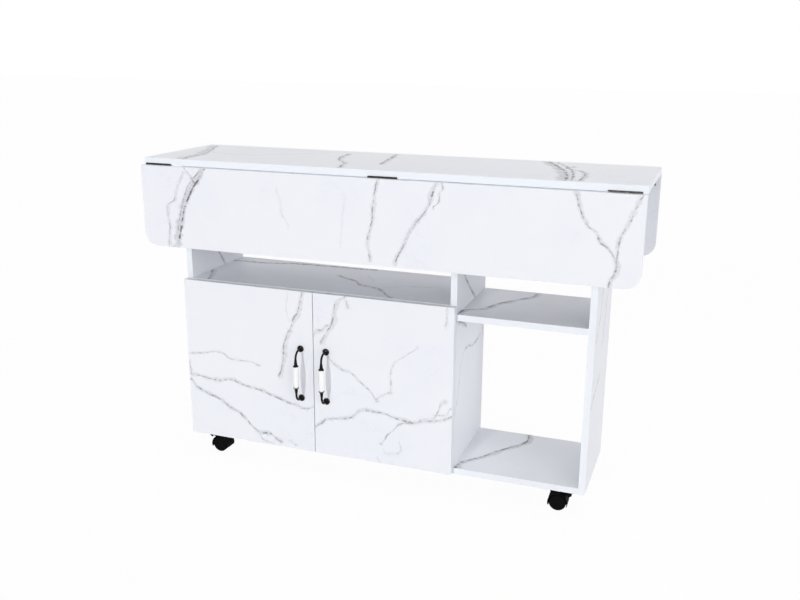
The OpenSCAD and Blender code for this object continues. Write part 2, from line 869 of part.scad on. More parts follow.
module front_leaf_hinge_plates() {
    color(bronze_colour) centred() at_leaf_hinges() moving_flap();
}

module front_leaf_screws() {
    color(bronze_colour) centred() at_leaf_hinges() rotate([-90, 0, 0]) flap_screw_set(1);
}

module rear_leaf() {
    color(laminate_colour) centred() mirror([0, 1, 0]) leaf_shape();
}

module rear_leaf_hinge_plates() {
    color(bronze_colour) centred() mirror([0, 1, 0]) at_leaf_hinges() moving_flap();
}

module rear_leaf_screws() {
    color(bronze_colour) centred() mirror([0, 1, 0]) at_leaf_hinges()
        rotate([-90, 0, 0]) flap_screw_set(1);
}

// ---------- leaf supports ----------

// Places what is drawn about a support's pivot, at the front
module at_pivot(x) {
    translate([x, -support_pivot_y, support_pivot_z]) children();
}

module bracket_screws(xs) {
    spread = bracket_height / 2 - bracket_screw_end;
    front_and_rear() for (x = xs, s = [-1, 1])
        at_pivot(x) translate([0, support_offset, s * spread]) rotate([-90, 0, 0])
            countersunk_screw(bracket_sheet);
}

module bracket() {
    base_y = support_offset - bracket_sheet;
    difference() {
        union() {
            slab([-board / 2, base_y, -bracket_height / 2], [board / 2, support_offset, bracket_height / 2]);
            for (s = [0, 1]) mirror([s, 0, 0]) {
                slab([support_side, 0, -bracket_ear_r], [support_side + bracket_sheet, base_y, bracket_ear_r]);
                bar_x(bracket_ear_r, support_side, support_side + bracket_sheet);
            }
        }
        bar_x(rivet_r, -board, board);
    }
}

module support_brackets() {
    color(steel_colour) centred() {
        front_and_rear() for (x = support_xs) difference() {
            at_pivot(x) bracket();
            bracket_screws([x]);
        }
        bracket_screws(support_xs);
    }
}

module bracket_rivets() {
    outer = support_side + bracket_sheet;
    color(steel_colour) centred() front_and_rear() for (x = support_xs) at_pivot(x) {
        bar_x(rivet_r, -outer, outer);
        for (s = [0, 1]) mirror([s, 0, 0]) bar_x(rivet_head_r, outer, outer + rivet_head);
    }
}

module support_arm() {
    half = support_width / 2;
    x = support_sheet / 2;
    difference() {
        union() {
            slab([-x, -half, -support_length], [x, half, 0]);
            bar_x(half, -x, x);
            translate([0, 0, -support_length]) bar_x(half, -x, x);
        }
        bar_x(rivet_r + running_clear, -board, board);
    }
}

module front_left_support() {
    color(steel_colour) centred() at_pivot(support_xs[0]) support_arm();
}

module front_right_support() {
    color(steel_colour) centred() at_pivot(support_xs[1]) support_arm();
}

module rear_left_support() {
    color(steel_colour) centred() mirror([0, 1, 0]) at_pivot(support_xs[0]) support_arm();
}

module rear_right_support() {
    color(steel_colour) centred() mirror([0, 1, 0]) at_pivot(support_xs[1]) support_arm();
}

// ---------- doors ----------

// Draws a left-hand piece, whose X runs inward from the door's hinged edge, at the left (side 1)
// or mirrored at the right (side -1)
module at_door(side) {
    translate([side > 0 ? left_x : bay_left_x, 0, 0]) mirror([side > 0 ? 0 : 1, 0, 0]) children();
}

module at_door_hinges(side) {
    at_door(side) for (z = door_hinge_zs) translate([0, 0, z]) children();
}

module at_handle_screws() {
    for (s = [-1, 1])
        translate([left_door_width - handle_inset, 0, handle_z + s * handle_half]) children();
}

module cup_bore() {
    translate([cup_centre, 0, 0]) bar_y(cup_r, door_back_y - cup_depth, door_back_y + past);
}

// The screws of a cup's flange, from the door's back into it
module flange_screws() {
    for (s = [-1, 1])
        translate([cup_centre, door_back_y, s * flange_screw_z]) rotate([90, 0, 0])
            countersunk_screw(flange_sheet);
}

module bumper_spots() {
    low = (door_low_z + bottom_z) / 2;
    high = (door_high_z + cabinet_top_z - board) / 2;
    for (z = [low, high])
        translate([left_door_width - bumper_inset, 0, z]) children();
}

module door_shape(side) {
    at_door(side) difference() {
        slab([0, door_front_y, door_low_z], [left_door_width, door_back_y, door_high_z]);
        for (z = door_hinge_zs) translate([0, 0, z]) {
            cup_bore();
            flange_screws();
        }
        at_handle_screws() bar_y(handle_screw_r + handle_screw_clear, door_front_y - past, door_back_y + past);
    }
}

// A cup with its flange, its pin and the flange's two screws
module hinge_cup() {
    flange_y = door_back_y + flange_sheet;
    inner_floor = door_back_y - cup_depth + cup_floor;
    difference() {
        union() {
            translate([cup_centre, 0, 0]) bar_y(cup_r, door_back_y - cup_depth, flange_y);
            slab([cup_centre - flange_width / 2, door_back_y, -flange_height / 2],
                 [cup_centre + flange_width / 2, flange_y, flange_height / 2]);
        }
        translate([cup_centre, 0, 0]) bar_y(cup_inner_r, inner_floor, flange_y + past);
        flange_screws();
    }
    translate([door_pin_inset, door_pin_y, -door_pin_half]) cylinder(r = door_pin_r, h = 2 * door_pin_half);
    flange_screws();
}

// The arm's bent strip: an eye on the pin, a leg in the cup, and a tail along the panel
module hinge_arm() {
    low_y = door_pin_y - arm_sheet / 2;
    tail_x = arm_outer + arm_sheet;
    difference() {
        union() {
            translate([door_pin_inset, door_pin_y, -arm_width / 2]) cylinder(r = arm_eye_r, h = arm_width);
            slab([door_pin_inset, low_y, -arm_width / 2], [tail_x, low_y + arm_sheet, arm_width / 2]);
            slab([arm_outer, low_y, -arm_width / 2], [tail_x, front_y + arm_length, arm_width / 2]);
            slab([arm_outer, front_y + past, -arm_tail_width / 2],
                 [tail_x, front_y + arm_length, arm_tail_width / 2]);
        }
        translate([door_pin_inset, door_pin_y, -arm_width])
            cylinder(r = door_pin_r + running_clear, h = 2 * arm_width);
    }
}

// The screws of a mounting plate, pointing into the panel
module mount_screw_pair() {
    y = front_y + mount_plate_inset + mount_plate_length / 2;
    for (s = [-1, 1])
        translate([board, y, s * mount_screw_z]) rotate([0, -90, 0]) countersunk_screw(mount_ear_sheet);
}

module mount_screw_holes(side) {
    at_door_hinges(side) mount_screw_pair();
}

module mounting_plate() {
    y0 = front_y + mount_plate_inset;
    y1 = y0 + mount_plate_length;
    mid = (y0 + y1) / 2;
    difference() {
        union() {
            slab([board, y0, -mount_plate_width / 2], [arm_outer, y1, mount_plate_width / 2]);
            slab([board, mid - mount_ear_width / 2, -mount_plate_span / 2],
                 [board + mount_ear_sheet, mid + mount_ear_width / 2, mount_plate_span / 2]);
        }
        mount_screw_pair();
    }
    mount_screw_pair();
}

module door_hinge_arms() {
    color(steel_colour) centred() for (side = [1, -1]) at_door_hinges(side) hinge_arm();
}

module door_mounting_plates() {
    color(steel_colour) centred() for (side = [1, -1]) at_door_hinges(side) mounting_plate();
}

// A handle post, from its rosette on the door round the bend to its ferrule; up is the ferrule's side
module handle_post() {
    bend_z = handle_half - handle_bend_r;
    bend_out = handle_reach - handle_bend_r;
    flare_z = grip_half + ferrule_rim + ferrule_flare;
    difference() {
        union() {
            rotate([90, 0, 0]) rotate_extrude() polygon([
                [0, 0], [rosette_r, 0], [rosette_r, rosette_rim],
                [rosette_neck_r, rosette_height - rosette_neck], [post_r, rosette_height], [0, rosette_height]
            ]);
            bar_y(post_r, -bend_out, 0);
            translate([0, -bend_out, handle_bend_r]) rotate([0, 90, 0]) rotate([0, 0, -90])
                rotate_extrude(angle = 90) translate([handle_bend_r, 0]) circle(r = post_r);
            translate([0, -handle_reach, handle_bend_r]) cylinder(
                r1 = post_r, r2 = post_end_r, h = handle_half - handle_bend_r - flare_z);
            translate([0, -handle_reach, handle_half - flare_z]) cylinder(
                r1 = post_end_r, r2 = ferrule_r, h = ferrule_flare);
            translate([0, -handle_reach, handle_half - grip_half - ferrule_rim]) cylinder(
                r = ferrule_r, h = ferrule_rim);
        }
        translate([0, -handle_reach, handle_half - grip_half - tie_rod_seat])
            cylinder(r = tie_rod_r, h = tie_rod_seat + past);
        bar_y(handle_screw_r, -handle_screw_seat, past);
    }
}

module handle_posts() {
    translate([left_door_width - handle_inset, door_front_y, handle_z]) {
        for (s = [0, 1]) mirror([0, 0, s]) translate([0, 0, -handle_half]) handle_post();
        rod_half = grip_half + tie_rod_seat;
        translate([0, -handle_reach, -rod_half]) cylinder(r = tie_rod_r, h = 2 * rod_half);
    }
}

// A barrel-shaped grip, bored for the rod
module handle_grip() {
    swell = grip_r - grip_end_r;
    arc_r = (pow(grip_half, 2) + pow(swell, 2)) / (2 * swell);
    bore_r = tie_rod_r + tie_rod_clear;
    translate([left_door_width - handle_inset, grip_y, handle_z]) rotate_extrude() intersection() {
        translate([grip_r - arc_r, 0]) circle(r = arc_r, $fn = grip_facets);
        translate([bore_r, -grip_half]) square([grip_r, grip_length]);
    }
}

module handle_screws() {
    at_handle_screws() {
        bar_y(handle_screw_r, door_front_y - handle_screw_seat, door_back_y);
        bar_y(handle_head_r, door_back_y, door_back_y + handle_head);
    }
}

module strike_plate() {
    x = left_door_width;
    z0 = catch_z - strike_height / 2;
    slab([x - strike_width, door_back_y, z0], [x, door_back_y + strike_sheet, z0 + strike_height]);
}

module door_bumpers() {
    bumper_spots() bar_y(bumper_r, door_back_y, front_y - bumper_gap);
}

module left_door() {
    color(laminate_colour) centred() door_shape(1);
}

module right_door() {
    color(laminate_colour) centred() door_shape(-1);
}

module left_hinge_cups() {
    color(steel_colour) centred() at_door_hinges(1) hinge_cup();
}

module right_hinge_cups() {
    color(steel_colour) centred() at_door_hinges(-1) hinge_cup();
}

module left_handle_posts() {
    color(bronze_colour) centred() at_door(1) handle_posts();
}

module right_handle_posts() {
    color(bronze_colour) centred() at_door(-1) handle_posts();
}

module left_handle_grip() {
    color(ceramic_colour) centred() at_door(1) handle_grip();
}

module right_handle_grip() {
    color(ceramic_colour) centred() at_door(-1) handle_grip();
}

module left_handle_screws() {
    color(steel_colour) centred() at_door(1) handle_screws();
}

module right_handle_screws() {
    color(steel_colour) centred() at_door(-1) handle_screws();
}

module left_strike_plate() {
    color(steel_colour) centred() at_door(1) strike_plate();
}

module right_strike_plate() {
    color(steel_colour) centred() at_door(-1) strike_plate();
}

module left_door_bumpers() {
    color(rubber_colour) centred() at_door(1) door_bumpers();
}

module right_door_bumpers() {
    color(rubber_colour) centred() at_door(-1) door_bumpers();
}

// A case under the cabinet's top board, with two magnets that face the strike plates
module magnetic_catch() {
    z0 = catch_z - catch_height / 2;
    magnet_z = catch_z - magnet_height / 2;
    color(catch_colour) centred() difference() {
        slab([seam_x - catch_width / 2, catch_front_y + past, z0],
             [seam_x + catch_width / 2, catch_front_y + past + catch_depth, z0 + catch_height]);
        magnets(magnet_z);
    }
    color(steel_colour) centred() magnets(magnet_z);
}

module magnets(z) {
    for (s = [-1, 1])
        slab([seam_x + s * magnet_x - magnet_width / 2, catch_front_y, z],
             [seam_x + s * magnet_x + magnet_width / 2, catch_front_y + past + magnet_seat, z + magnet_height]);
}

// ---------- casters ----------

// Places a caster that is drawn with its swivel axis at the origin and its wheels towards +X
module at_caster(spot) {
    translate([spot[0], spot[1], 0]) rotate([0, 0, spot[2]]) children();
}

module at_axle() {
    translate([caster_trail, 0, wheel_r]) children();
}

module plate_screw_spots() {
    half = plate_screw_spacing / 2;
    for (sx = [-1, 1], sy = [-1, 1]) translate([sx * half, sy * half, 0]) children();
}

module plate_screw_shanks(spots) {
    for (spot = spots) translate([spot[0], spot[1], plate_under_z])
        plate_screw_spots() cylinder(r = screw_r, h = caster_plate_sheet + plate_screw_length);
}

module caster_plates() {
    half = caster_plate / 2;
    color(plastic_colour) centred() for (spot = caster_spots) translate([spot[0], spot[1], 0]) {
        difference() {
            slab([-half, -half, plate_under_z], [half, half, caster_height]);
            translate([0, 0, plate_under_z - past]) plate_screw_spots()
                cylinder(r = screw_r + plate_screw_clear, h = caster_height);
        }
        translate([0, 0, king_pin_z]) cylinder(r = king_pin_r, h = king_pin_length + past);
    }
}

module caster_screws() {
    color(steel_colour) centred() {
        plate_screw_shanks(caster_spots);
        for (spot = caster_spots) translate([spot[0], spot[1], plate_under_z - plate_head])
            plate_screw_spots() cylinder(r = plate_head_r, h = plate_head);
    }
}

module brake_ears() {
    translate([caster_trail, 0, wheel_r]) for (s = [0, 1]) mirror([0, s, 0])
        rotate([0, -brake_pivot_angle, 0]) difference() {
            union() {
                slab([hood_inner_r + hood_wall / 2, brake_ear_in, -brake_eye_r],
                     [brake_pivot_r, brake_ear_in + brake_ear, brake_eye_r]);
                translate([brake_pivot_r, 0, 0])
                    bar_y(brake_eye_r, brake_ear_in, brake_ear_in + brake_ear);
            }
            translate([brake_pivot_r, 0, 0])
                bar_y(brake_pin_r + running_clear, 0, brake_ear_in + brake_ear + past);
        }
}

// The side view of a hood's shoulder, about the axle: it carries the boss
module shoulder_profile() {
    top = shoulder_z - wheel_r;
    polygon([
        [-hood_r, 0], [-shoulder_back, top - shoulder_bevel], [shoulder_bevel - shoulder_back, top],
        [shoulder_front - shoulder_bevel, top], [shoulder_front, top - shoulder_bevel], [shoulder_front, 0]
    ]);
}

// A hood: a shell over both treads, a web between the wheels, and a boss that turns on the king pin
module hood(braked) {
    difference() {
        union() {
            at_axle() {
                bar_y(hood_r, -hood_half, hood_half);
                translate([0, hood_half, 0]) rotate([90, 0, 0])
                    linear_extrude(2 * hood_half) shoulder_profile();
            }
            translate([0, 0, boss_top_z - boss_taper]) cylinder(r = boss_r, h = boss_taper);
            translate([0, 0, boss_top_z - 2 * boss_taper])
                cylinder(r1 = king_pin_r, r2 = boss_r, h = boss_taper);
            if (braked) brake_ears();
        }
        at_axle() for (s = [0, 1]) mirror([0, s, 0])
            bar_y(hood_inner_r, hood_web / 2, hood_half + past);
        slab([-2 * hood_r, -2 * hood_r, -hood_r], [2 * hood_r, 2 * hood_r, hood_skirt_z]);
        translate([0, 0, king_pin_z - past]) cylinder(r = king_pin_r + running_clear, h = caster_height);
        at_axle() bar_y(axle_r + running_clear, -hood_half, hood_half);
    }
}

// One wheel, drawn about Z from its inner face at wheel_inner to its outer face
module wheel() {
    z0 = wheel_inner;
    z1 = wheel_outer;
    rim_r = wheel_r - tread_bevel - rim_width;
    rotate_extrude() polygon([
        [axle_r, z0], [wheel_r - tread_bevel, z0], [wheel_r, z0 + tread_bevel],
        [wheel_r, z1 - tread_bevel], [wheel_r - tread_bevel, z1], [rim_r, z1],
        [rim_r - dish_depth, z1 - dish_depth], [hub_r + dish_depth, z1 - dish_depth],
        [hub_r, z1 - dish_depth / 2], [0, z1 - dish_depth / 2], [0, z1 - hub_skin], [axle_r, z1 - hub_skin]
    ]);
}

module wheel_pair() {
    at_axle() for (a = [-90, 90]) rotate([a, 0, 0]) wheel();
}

module axle() {
    end = wheel_outer - hub_skin;
    at_axle() bar_y(axle_r, -end, end);
}

// A brake lever, drawn about its pivot with its pedal towards +X
module brake_lever() {
    start = brake_eye_r + brake_clear;
    half = brake_pedal_width / 2;
    bar_y(brake_eye_r, -brake_eye_width / 2, brake_eye_width / 2);
    bar_y(brake_pin_r, -brake_ear_in - brake_ear, brake_ear_in + brake_ear);
    slab([0, -brake_eye_width / 2, -brake_sheet / 2], [start + past, brake_eye_width / 2, brake_sheet / 2]);
    translate([0, half, 0]) rotate([90, 0, 0]) linear_extrude(brake_pedal_width) polygon([
        [start, brake_sheet / 2], [brake_length, brake_sheet / 2], [brake_length, -brake_sheet / 2],
        [brake_length - brake_wedge_back, -brake_wedge], [start, -brake_sheet / 2]
    ]);
    translate([brake_length, 0, 0]) bar_y(brake_sheet / 2, -half, half);
    for (i = [1 : brake_ridge_count])
        translate([brake_length - i * brake_ridge_pitch, 0, brake_sheet / 2]) bar_y(brake_ridge, -half, half);
}

module placed_brake(spot) {
    at_caster(spot) translate([brake_x, 0, brake_z]) rotate([0, brake_slope, 0]) brake_lever();
}

module front_left_hood() {
    color(plastic_colour) centred() at_caster(front_left_spot) hood(true);
}

module front_left_wheels() {
    color(plastic_colour) centred() at_caster(front_left_spot) wheel_pair();
}

module front_left_axle() {
    color(steel_colour) centred() at_caster(front_left_spot) axle();
}

module front_left_brake() {
    color(plastic_colour) centred() placed_brake(front_left_spot);
}

module front_right_hood() {
    color(plastic_colour) centred() at_caster(front_right_spot) hood(true);
}

module front_right_wheels() {
    color(plastic_colour) centred() at_caster(front_right_spot) wheel_pair();
}

module front_right_axle() {
    color(steel_colour) centred() at_caster(front_right_spot) axle();
}

module front_right_brake() {
    color(plastic_colour) centred() placed_brake(front_right_spot);
}

module rear_left_hood() {
    color(plastic_colour) centred() at_caster(rear_left_spot) hood(false);
}

module rear_left_wheels() {
    color(plastic_colour) centred() at_caster(rear_left_spot) wheel_pair();
}

module rear_left_axle() {
    color(steel_colour) centred() at_caster(rear_left_spot) axle();
}

module rear_right_hood() {
    color(plastic_colour) centred() at_caster(rear_right_spot) hood(false);
}

module rear_right_wheels() {
    color(plastic_colour) centred() at_caster(rear_right_spot) wheel_pair();
}

module rear_right_axle() {
    color(steel_colour) centred() at_caster(rear_right_spot) axle();
}

top_board();
left_side_panel();
right_side_panel();
centre_divider();
cabinet_bottom_board();
cabinet_top_board();
bay_bottom_board();
bay_shelf();
cabinet_back_panel();
cam_locks();
cam_bolts();
wood_dowels();
magnetic_catch();
door_hinge_arms();
door_mounting_plates();
leaf_hinge_fixed_plates();
leaf_hinge_pins();
leaf_hinge_screws();
support_brackets();
bracket_rivets();
caster_plates();
caster_screws();
front_leaf();
front_leaf_hinge_plates();
front_leaf_screws();
rear_leaf();
rear_leaf_hinge_plates();
rear_leaf_screws();
front_left_support();
front_right_support();
rear_left_support();
rear_right_support();
left_door();
left_hinge_cups();
left_handle_posts();
left_handle_grip();
left_handle_screws();
left_strike_plate();
left_door_bumpers();
right_door();
right_hinge_cups();
right_handle_posts();
right_handle_grip();
right_handle_screws();
right_strike_plate();
right_door_bumpers();
front_left_hood();
front_left_wheels();
front_left_axle();
front_left_brake();
front_right_hood();
front_right_wheels();
front_right_axle();
front_right_brake();
rear_left_hood();
rear_left_wheels();
rear_left_axle();
rear_right_hood();
rear_right_wheels();
rear_right_axle();
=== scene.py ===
"""Looks for the drop-leaf serving table: marble-look laminate, plain white edge bands, dark bronze
and white ceramic handles, black casters. Sizes and places are in metres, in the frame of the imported
part, and only the veins are drawn in millimetres."""
import json
import math

import bpy
from mathutils import Matrix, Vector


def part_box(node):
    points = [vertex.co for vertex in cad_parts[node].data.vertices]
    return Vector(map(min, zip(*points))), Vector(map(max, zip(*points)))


MM = 0.001

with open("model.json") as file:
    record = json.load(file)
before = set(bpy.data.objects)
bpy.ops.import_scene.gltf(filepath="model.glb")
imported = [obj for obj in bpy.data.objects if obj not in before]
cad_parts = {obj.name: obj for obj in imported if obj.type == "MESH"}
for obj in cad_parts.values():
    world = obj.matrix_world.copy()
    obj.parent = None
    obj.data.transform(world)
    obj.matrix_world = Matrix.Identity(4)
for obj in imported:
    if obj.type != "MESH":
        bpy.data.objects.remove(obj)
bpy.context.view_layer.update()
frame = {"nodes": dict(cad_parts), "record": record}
nodes = frame["nodes"]
# The camera and the veins count their heights from the carcass's underside
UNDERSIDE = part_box("left_side_panel")[0][2]


# ---------- camera: the photograph's own viewing angle ----------

SENSOR_WIDTH = 36.0
PICTURE_WIDTH = 800
FOCAL_PX = 909.43
CAMERA_PLACE = (0.7535, -2.0366, UNDERSIDE + 0.9984)
# Turn, dip and roll in degrees
CAMERA_TURN = 19.985
CAMERA_DIP = 15.872
CAMERA_ROLL = 0.392
# Farthest distance that the camera sees
VIEW_REACH = 100

camera_data = bpy.data.cameras.new("camera")
camera_data.sensor_width = SENSOR_WIDTH
camera_data.sensor_fit = "HORIZONTAL"
camera_data.lens = FOCAL_PX * SENSOR_WIDTH / PICTURE_WIDTH
camera_data.clip_end = VIEW_REACH
camera = bpy.data.objects.new("camera", camera_data)
camera.matrix_world = (
    Matrix.Translation(CAMERA_PLACE)
    @ Matrix.Rotation(math.radians(CAMERA_TURN), 4, "Z")
    @ Matrix.Rotation(math.radians(90 - CAMERA_DIP), 4, "X")
    @ Matrix.Rotation(math.radians(CAMERA_ROLL), 4, "Z")
)
bpy.context.scene.collection.objects.link(camera)
bpy.context.scene.camera = camera
bpy.context.scene.view_settings.view_transform = "Standard"


# ---------- a small shorthand for node materials ----------

class Net:
    """The shader nodes of one tree. Its methods add a node, join it up and return what it gives."""

    def __init__(self, tree):
        self.tree = tree

    def add(self, kind, **settings):
        node = self.tree.nodes.new(kind)
        for name, value in settings.items():
            setattr(node, name, value)
        return node

    def put(self, socket, value):
        """Links a socket to another one, or sets it to a plain value."""
        if isinstance(value, bpy.types.NodeSocket):
            self.tree.links.new(value, socket)
        elif value is not None:
            socket.default_value = value

    def math(self, operation, a, b=None, c=None, clamp=False):
        node = self.add("ShaderNodeMath", operation=operation, use_clamp=clamp)
        for socket, value in zip(node.inputs, (a, b, c)):
            self.put(socket, value)
        return node.outputs[0]

    def ramp(self, value, low, high, out_low=0.0, out_high=1.0, smooth=True):
        """Takes low to out_low and high to out_high, and stays level beyond them."""
        node = self.add("ShaderNodeMapRange", interpolation_type="SMOOTHSTEP" if smooth else "LINEAR")
        for name, setting in (("Value", value), ("From Min", low), ("From Max", high),
                              ("To Min", out_low), ("To Max", out_high)):
            self.put(node.inputs[name], setting)
        return node.outputs[0]

    def noise(self, place, scale, detail=2.0, roughness=0.5, dimensions="3D"):
        """Noise from 0 to 1, with about as many waves to the metre as its scale."""
        node = self.add("ShaderNodeTexNoise", noise_dimensions=dimensions)
        self.put(node.inputs["Vector"], place)
        self.put(node.inputs["Scale"], scale)
        self.put(node.inputs["Detail"], detail)
        self.put(node.inputs["Roughness"], roughness)
        return node.outputs["Fac"]

    def mix(self, factor, a, b):
        """Colour a where the factor is 0, and colour b where it is 1."""
        node = self.add("ShaderNodeMix", data_type="RGBA")
        self.put(node.inputs["Factor"], factor)
        self.put(node.inputs["A"], a)
        self.put(node.inputs["B"], b)
        return node.outputs["Result"]

    def xyz(self, vector):
        node = self.add("ShaderNodeSeparateXYZ")
        self.put(node.inputs[0], vector)
        return node.outputs

    def xy(self, x, y):
        node = self.add("ShaderNodeCombineXYZ")
        for socket, value in zip(node.inputs, (x, y)):
            self.put(socket, value)
        return node.outputs[0]

    def shift(self, vector, amount):
        """A place moved by the same amount on all three axes."""
        node = self.add("ShaderNodeVectorMath", operation="ADD")
        self.put(node.inputs[0], vector)
        self.put(node.inputs[1], (amount, amount, amount))
        return node.outputs[0]


def new_material(name):
    """A material with a Principled shader: (material, its net, the shader's sockets)."""
    material = bpy.data.materials.new(name)
    material.use_nodes = True
    shader = material.node_tree.nodes["Principled BSDF"].inputs
    return material, Net(material.node_tree), shader


def object_place(net):
    return net.add("ShaderNodeTexCoord").outputs["Object"]


def add_bump(net, shader, height, strength, distance):
    bump = net.add("ShaderNodeBump")
    net.put(bump.inputs["Strength"], strength)
    net.put(bump.inputs["Distance"], distance)
    net.put(bump.inputs["Height"], height)
    net.put(shader["Normal"], bump.outputs[0])


def seen_directly(net):
    """1 for a camera, glossy or transmission ray, and 0 for a ray that gathers diffuse light."""
    path = net.add("ShaderNodeLightPath").outputs
    seen = net.math("MAXIMUM", path["Is Camera Ray"], path["Is Glossy Ray"])
    return net.math("MAXIMUM", seen, path["Is Transmission Ray"])


def dress(node, material):
    """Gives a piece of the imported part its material."""
    for slot in nodes[node].material_slots:
        slot.material = material


# ---------- marble-look laminate ----------

LAMINATE = (0.838, 0.855, 0.897, 1)
LAMINATE_COOL = (0.828, 0.838, 0.894, 1)
EDGE_BAND = (0.838, 0.866, 0.913, 1)
VEIN = (0.166, 0.158, 0.178, 1)
# Breadth of every core and halo against the breadths listed with the boards
CORE_BREADTH = 1.6
HALO_BREADTH = 1.25
# Halo of a vein that shows none, in millimetres
LEAST_HALO = 0.1
# Length over which a vein's ends fade out
END_FADE = 12 * MM
# How far the print strays from the drawn veins, from side to side
BROAD_STRAY = 9 * MM
FINE_STRAY = 4 * MM
# Room that a vein's curve keeps beyond its outermost points
CURVE_MARGIN = 5 * MM
# Step from one vein's noise to the next one's
SEED_STEP = 1.37


def make_vein_group():
    """Node group: how dark one vein is, from the signed distance across it and the place along it."""
    group = bpy.data.node_groups.new("vein", "ShaderNodeTree")
    for name in ("Across", "Along", "Start", "End", "Core", "Halo", "Strength", "Fade", "Seed", "Grain"):
        group.interface.new_socket(name, in_out="INPUT", socket_type="NodeSocketFloat")
    group.interface.new_socket("Dark", in_out="OUTPUT", socket_type="NodeSocketFloat")
    net = Net(group)
    given = net.add("NodeGroupInput").outputs
    result = net.add("NodeGroupOutput").inputs

    def wander(scale, detail, roughness, seed_shift):
        """Noise that changes along the vein and not across it."""
        place = net.xy(given["Along"], net.math("ADD", given["Seed"], seed_shift))
        return net.noise(place, scale, detail, roughness, "2D")

    swell = wander(38.0, detail=3.0, roughness=0.6, seed_shift=0.0)
    distance = net.math("ABSOLUTE", given["Across"])

    # Core: a thin dark line that swells, thins and breaks up
    break_up = wander(75.0, detail=2.0, roughness=0.6, seed_shift=7.3)
    core_width = net.math("MULTIPLY", given["Core"], net.ramp(swell, 0.3, 0.7, 0.45, 1.5, smooth=False))
    core = net.ramp(distance, net.math("MULTIPLY", core_width, 0.2), core_width, 1.0, 0.0)
    core = net.math("MULTIPLY", core, net.ramp(break_up, 0.32, 0.66, 0.32, 1.45))

    # Bleed: a paler grainy band on both sides of the core
    spread = net.ramp(wander(55.0, detail=3.0, roughness=0.65, seed_shift=3.9), 0.32, 0.68, 1.0, 3.4,
                      smooth=False)
    bleed_width = net.math("MULTIPLY", given["Core"], spread)
    bleed = net.ramp(distance, net.math("MULTIPLY", bleed_width, 0.35), bleed_width, 1.0, 0.0)
    bleed = net.math("MULTIPLY", bleed, net.ramp(given["Grain"], 0.36, 0.62, 0.14, 0.4))

    # Halo: a broad soft shade on one side only
    halo_width = net.math("MULTIPLY", given["Halo"], net.ramp(swell, 0.25, 0.75, 0.5, 1.35, smooth=False))
    side = net.math("DIVIDE", given["Across"], halo_width)
    halo = net.math("MULTIPLY", net.ramp(side, 0.45, 1.0, 1.0, 0.0), net.math("GREATER_THAN", side, 0.0))
    halo = net.math("MULTIPLY", halo, net.ramp(given["Grain"], 0.34, 0.66, 0.4, 1.0))
    halo = net.math("MULTIPLY", halo, 0.5)

    before_start = net.math("SUBTRACT", given["Start"], given["Fade"])
    past_end = net.math("ADD", given["End"], given["Fade"])
    ends = net.math(
        "MULTIPLY",
        net.ramp(given["Along"], before_start, given["Start"]),
        net.ramp(given["Along"], given["End"], past_end, 1.0, 0.0),
    )
    dark = net.math("MAXIMUM", net.math("MAXIMUM", core, bleed), halo)
    dark = net.math("MULTIPLY", dark, net.math("MULTIPLY", ends, given["Strength"]))
    net.put(result["Dark"], dark)
    return group


VEIN_GROUP = make_vein_group()


